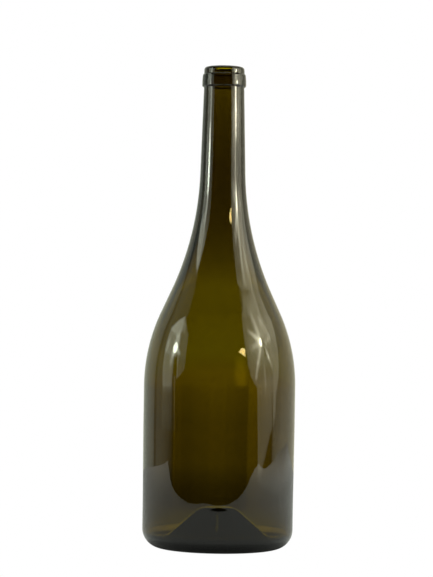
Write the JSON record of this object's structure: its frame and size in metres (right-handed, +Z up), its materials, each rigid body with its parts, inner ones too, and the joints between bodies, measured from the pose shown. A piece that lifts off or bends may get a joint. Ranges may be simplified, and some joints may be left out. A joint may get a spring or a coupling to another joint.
{
  "type": "wine bottle",
  "caption": "Large empty wine bottle of deep olive green glass, with a long neck, sloping shoulder, banded cork finish and hollow foot, for holding and pouring wine.",
  "frame": {"origin": "middle of the foot, on the surface that the bottle stands on", "axes": "+Z up along the axis that the bottle is turned round; X and Y are alike"},
  "size_m": [0.112, 0.112, 0.356],
  "materials": {
    "glass": "smooth clear deep olive green bottle glass"
  },
  "bodies": {
    "root": {"bottle": "glass"}
  },
  "joints": []
}
